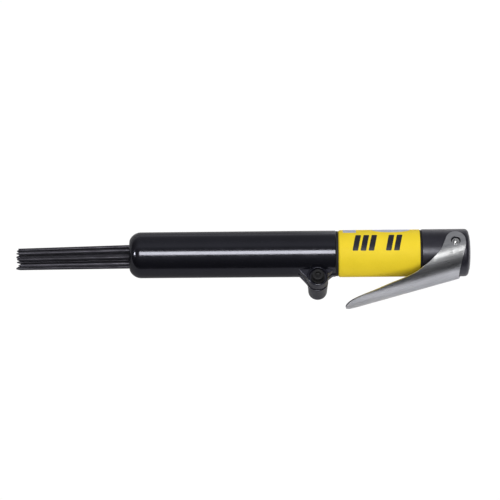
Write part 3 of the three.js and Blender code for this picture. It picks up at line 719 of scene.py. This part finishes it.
bmesh.ops.recalc_face_normals(well, faces=well.faces)
wm = bpy.data.meshes.new("well")
well.to_mesh(wm)
well.free()
plug = modified(plug, ("CUT", wm), ("BEVEL", {"width": 0.15, "segments": 2, "limit_method": "ANGLE", "angle_limit": math.radians(50)}))
piece(finish_mesh("throttle_plug_fine", shifted(plug, VALVE_X, 0, 0), TOOL), "barrel", "fastener_steel", M["oxide"], "throttle_plug")

# inlet bush with its internal thread
seg, pitch = 96, 1.34
rows = int((CAP - 1.3 - 277.1) / (pitch / 8))
verts, faces = [], []
for j in range(rows + 1):
    x = 277.1 + j * pitch / 8
    fade = min(1, max(0, (j - 4) / 6), max(0, (rows - j) / 6))
    for q in range(seg):
        a = 2 * math.pi * q / seg
        ph = (x / pitch - q / seg) % 1.0
        verts.append((x, (5.75 + 0.42 * fade * abs(2 * ph - 1)) * math.cos(a), (5.75 + 0.42 * fade * abs(2 * ph - 1)) * math.sin(a)))
last = rows * seg
tail = [(CAP - 1.0, 5.85), (CAP - 0.35, 6.5), (CAP - 0.3, 6.6), (CAP - 0.3, 8.2), (CAP - 0.45, 8.4), (272, 8.4), (272, 4.2), (276.7, 4.2), (276.7, 5.75)]
for x, r in tail:
    verts += [(x, r * math.cos(2 * math.pi * q / seg), r * math.sin(2 * math.pi * q / seg)) for q in range(seg)]
total = rows + 1 + len(tail)
for j in range(total):
    a, b = j * seg, ((j + 1) % total) * seg
    faces += [(a + q, a + (q + 1) % seg, b + (q + 1) % seg, b + q) for q in range(seg)]
piece(finish_mesh("inlet_bush_fine", raw("i", verts, faces), TOOL, 40), "barrel", "machined_steel", M["ground"], "inlet_bush")

# ------------------------------------------------------------------ lever: one pressed sheet
R, T = 22.4, 1.3
half = [(15.2, 21.85), (17.9, 21.45), (20.2, 20.95), (24.6, 20.0), (28.7, 18.92), (32.7, 17.95), (39.6, 16.0), (43.8, 15.1), (50, 14.25),
        (65, 12.75), (76, 11.1), (87, 9.7), (93.5, 8.6), (97.6, 7.4), (100.6, 5.9), (102.7, 3.9), (103.8, 1.9), (104.1, 0)]
FLAT = 22.05
S_FLAT = R * math.asin(FLAT / R)  # length round the sheet to where the ear turns flat
Z_FLAT = -math.sqrt(R * R - FLAT * FLAT)


def s_of(w):
    return R * math.asin(min(w, FLAT) / R)


edge = sorted([(s_of(w), -t) for t, w in half])


def smooth_curve(points, n):
    """A centripetal curve through the points."""
    p = [np.array(q, float) for q in points]
    p = [2 * p[0] - p[1]] + p + [2 * p[-1] - p[-2]]
    out = []
    for i in range(1, len(p) - 2):
        p0, p1, p2, p3 = p[i - 1:i + 3]
        t = [0]
        for a, b in ((p0, p1), (p1, p2), (p2, p3)):
            t.append(t[-1] + max(np.linalg.norm(b - a), 1e-6) ** 0.5)
        for j in range(n):
            u = t[1] + (t[2] - t[1]) * j / n
            a1 = (t[1] - u) / (t[1] - t[0]) * p0 + (u - t[0]) / (t[1] - t[0]) * p1
            a2 = (t[2] - u) / (t[2] - t[1]) * p1 + (u - t[1]) / (t[2] - t[1]) * p2
            a3 = (t[3] - u) / (t[3] - t[2]) * p2 + (u - t[2]) / (t[3] - t[2]) * p3
            b1 = (t[2] - u) / (t[2] - t[0]) * a1 + (u - t[0]) / (t[2] - t[0]) * a2
            b2 = (t[3] - u) / (t[3] - t[1]) * a2 + (u - t[1]) / (t[3] - t[1]) * a3
            out.append(tuple((t[2] - u) / (t[2] - t[1]) * b1 + (u - t[1]) / (t[2] - t[1]) * b2))
    out.append(tuple(p[-2]))
    return out


# Outline of one half of the sheet, unrolled to (s, x): up the front edge to the ear, over its top and down the back.
s_at = lambda z: S_FLAT + (z - Z_FLAT) if z > Z_FLAT else R * math.acos(min(1, -z / R))
dome = [(-0.1 + 8.5 * math.cos(math.radians(a)), 0.15 + 8.5 * math.sin(math.radians(a))) for a in range(152, -18, -13)]
ear = [(-13.2, -2.85), (-10.46, 0.62), *dome, (7.45, -5.1), (5.6, -8.4)]
back_line = [(s_at(z), 5.6 + (z + 8.4) * 0.671) for z in np.linspace(-10.2, -22.4, 16)]
loop = smooth_curve(edge + [(s_at(z), x) for x, z in ear] + back_line, 8)
top_s = max(s for s, x in loop)


def crossings(s):
    xs = []
    for (s0, x0), (s1, x1) in zip(loop, loop[1:]):
        if (s0 - s) * (s1 - s) <= 0 and abs(s1 - s0) > 1e-9:
            xs.append(x0 + (x1 - x0) * (s - s0) / (s1 - s0))
    return min(xs), max(xs)


levels = list(np.concatenate([[0.0], np.geomspace(0.12, 2.0, 7), np.linspace(2.6, S_FLAT, 34), np.linspace(S_FLAT, top_s - 0.02, 26)[1:]]))
# the last levels close in on the top of the dome
levels = [s for s in levels if s < top_s - 1.0] + [top_s - d for d in (1.0, 0.72, 0.5, 0.33, 0.2, 0.1, 0.04, 0.008)]
COLS = 96
verts, faces, uvs = [], [], []
rows = []
for sgn in (-1, 1):
    for s in (levels if sgn > 0 else levels[:0:-1]):
        rows.append((sgn * s))
rows = sorted(set(rows))
for s in rows:
    x0, x1 = crossings(max(abs(s), 1e-4))
    for c in range(COLS + 1):
        f = c / COLS
        f = f + 0.10 * math.sin(2 * math.pi * f) * -1 / (2 * math.pi) * 1.0
        x = x0 + (x1 - x0) * f
        q = abs(s)
        # bend from the round channel into the flat ear over a short radius
        blend_w = 1.6
        if q < S_FLAT - blend_w:
            a = q / R
            y, z = R * math.sin(a), -R * math.cos(a)
        elif q > S_FLAT + blend_w:
            y, z = FLAT, Z_FLAT + (q - S_FLAT)
        else:
            k_ = (q - (S_FLAT - blend_w)) / (2 * blend_w)
            a0 = (S_FLAT - blend_w) / R
            y0, z0 = R * math.sin(a0), -R * math.cos(a0)
            y1, z1 = FLAT, Z_FLAT + blend_w
            t0 = np.array([math.cos(a0), math.sin(a0)]) * 2 * blend_w
            t1 = np.array([0.0, 1.0]) * 2 * blend_w
            h = [2 * k_**3 - 3 * k_**2 + 1, k_**3 - 2 * k_**2 + k_, -2 * k_**3 + 3 * k_**2, k_**3 - k_**2]
            y = h[0] * y0 + h[1] * t0[0] + h[2] * y1 + h[3] * t1[0]
            z = h[0] * z0 + h[1] * t0[1] + h[2] * z1 + h[3] * t1[1]
        verts.append((x, math.copysign(y, s) if q > 1e-9 else 0.0, z))
        uvs.append((x * MM, s * MM))
for j in range(len(rows) - 1):
    for c in range(COLS):
        a = j * (COLS + 1) + c
        faces.append((a, a + 1, a + COLS + 2, a + COLS + 1))
sheet = bpy.data.meshes.new("lever_sheet")
sheet.from_pydata(verts, [], faces)
uv = sheet.uv_layers.new(name="UVMap")
for loop_ in sheet.loops:
    uv.data[loop_.index].uv = uvs[loop_.vertex_index]
sheet.update()
bm = bmesh.new()
bm.from_mesh(sheet)
mid = bm.faces[:][len(bm.faces) // 2]
bm.normal_update()
if mid.normal.z > 0:
    bmesh.ops.reverse_faces(bm, faces=bm.faces)
bm.to_mesh(sheet)
bm.free()
drill = lathe("d", [(-30, 0), (30, 0), (30, 4.1), (-30, 4.1)], 64, "Y")
sheet = modified(sheet, ("SOLIDIFY", {"thickness": T, "offset": -1, "use_even_offset": True}), ("CUT", drill),
                 ("BEVEL", {"width": 0.28, "segments": 3, "limit_method": "ANGLE", "angle_limit": math.radians(55)}))
piece(finish_mesh("lever_fine", sheet, LEVER, 40), "lever", "stainless", M["lever"], "lever")

# pivot screws with a domed, polished end
for name, s in (("lever_pivot_screw_up", -1), ("lever_pivot_screw_down", 1)):
    dome = [(21.4 - 2.92 + math.sqrt(2.92**2 - r * r), r) for r in (2.2, 2.0, 1.7, 1.4, 1.1, 0.8, 0.5, 0.25, 0.0)]
    prof = rounded([(13.0, 0), (13.0, 1.9, 0.3), (18.4, 2.0), (18.4, 3.35, 0.2), (19.9, 3.35, 0.35), (19.75, 2.3, 0.2)], closed=False) + dome
    prof = [(s * a, r) for a, r in prof]
    piece(finish_mesh(name + "_fine", shifted(lathe("p", prof, 64, "Y"), PIVOT_X, 0, 0), TOOL, 50), "barrel", "machined_steel", M["pivot"], name)

# ------------------------------------------------------------------ inner pieces keep their CAD shape
looks = {
    "machined_steel": M["ground"], "spring_steel": M["wire"], "brass": M["brass"], "rubber": M["rubber"],
    "stainless": M["polished"], "fastener_steel": M["oxide"], "black_paint": M["gloss"], "black_satin": M["satin"],
    "yellow_sleeve": M["yellow"], "needle_steel": M["ground"],
}
slots = {s["node"]: s["material_slot"] for s in frame["record"]["subparts"]}
for name, obj in frame["nodes"].items():
    obj.data.materials.clear()
    obj.data.materials.append(looks[slots[name]])
    obj.data.polygons.foreach_set("use_smooth", [True] * len(obj.data.polygons))
    obj.data.set_sharp_from_angle(angle=math.radians(30))
